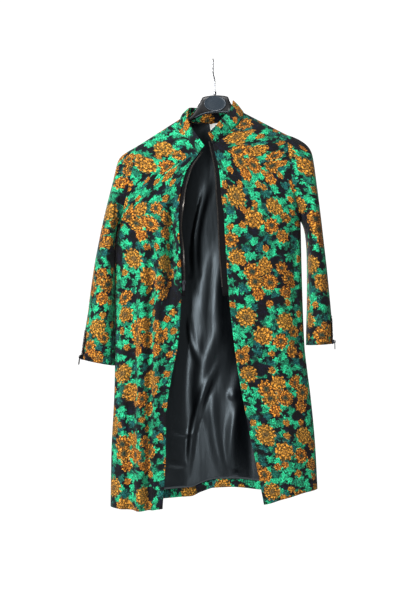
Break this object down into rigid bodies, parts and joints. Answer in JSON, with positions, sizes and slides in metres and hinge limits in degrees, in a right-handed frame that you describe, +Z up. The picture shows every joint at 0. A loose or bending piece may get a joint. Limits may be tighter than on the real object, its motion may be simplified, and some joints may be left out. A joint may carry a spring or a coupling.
{
  "type": "tunic coat on a coat hanger",
  "caption": "Knee-length open-fronted tunic coat in flowered brocade with a stand collar, undone zip and black satin lining, on a black hanger.",
  "frame": {"origin": "the inside of the hook's top, where it rests on a rail", "axes": "+Z up, the front faces -Y, +X is towards the wearer's left sleeve"},
  "size_m": [0.6388, 0.1427, 1.1206],
  "materials": {
    "flowered_brocade": "matt woven brocade, orange flowers and green leaves on black",
    "black_satin": "satin sheen",
    "zip_tape": "matt woven tape with black teeth",
    "zip_metal": "black enamelled",
    "white_tape": "smooth woven tape, bare",
    "black_plastic": "satin moulded plastic",
    "bright_steel": "bright drawn wire"
  },
  "bodies": {
    "garment": {"back": "flowered_brocade", "front_right": "flowered_brocade", "front_left": "flowered_brocade", "sleeve_right": "flowered_brocade", "sleeve_left": "flowered_brocade", "collar": "flowered_brocade", "lining_back": "black_satin", "hem_facing": "flowered_brocade", "zip_tape_right": "zip_tape", "zip_tape_left": "zip_tape", "hanger_body": "black_plastic", "hanger_hook": "bright_steel", "zip_slider_front": "zip_metal", "zip_slider_cuff_right": "zip_metal", "zip_slider_cuff_left": "zip_metal", "zip_box": "zip_metal", "cuff_tape_right": "zip_tape", "cuff_tape_left": "zip_tape", "label": "white_tape"},
    "pull_front": {"zip_pull_front": "zip_metal"},
    "pull_cuff_right": {"zip_pull_cuff_right": "zip_metal"},
    "pull_cuff_left": {"zip_pull_cuff_left": "zip_metal"}
  },
  "joints": [
    {"name": "front_pull_swing", "type": "hinge", "parent": "garment", "child": "pull_front", "pos_m": [-0.07191, -0.07044, -0.55733], "axis": [-0.9616, 0.2736, 0.0206], "range_deg": [0, 170]},
    {"name": "right_cuff_pull_swing", "type": "hinge", "parent": "garment", "child": "pull_cuff_right", "pos_m": [-0.33058, -0.02287, -0.74018], "axis": [-0.4239, 0.9028, 0.0727], "range_deg": [0, 170]},
    {"name": "left_cuff_pull_swing", "type": "hinge", "parent": "garment", "child": "pull_cuff_left", "pos_m": [0.3015, -0.02439, -0.70204], "axis": [-0.3123, -0.9493, -0.0354], "range_deg": [0, 170]}
  ]
}
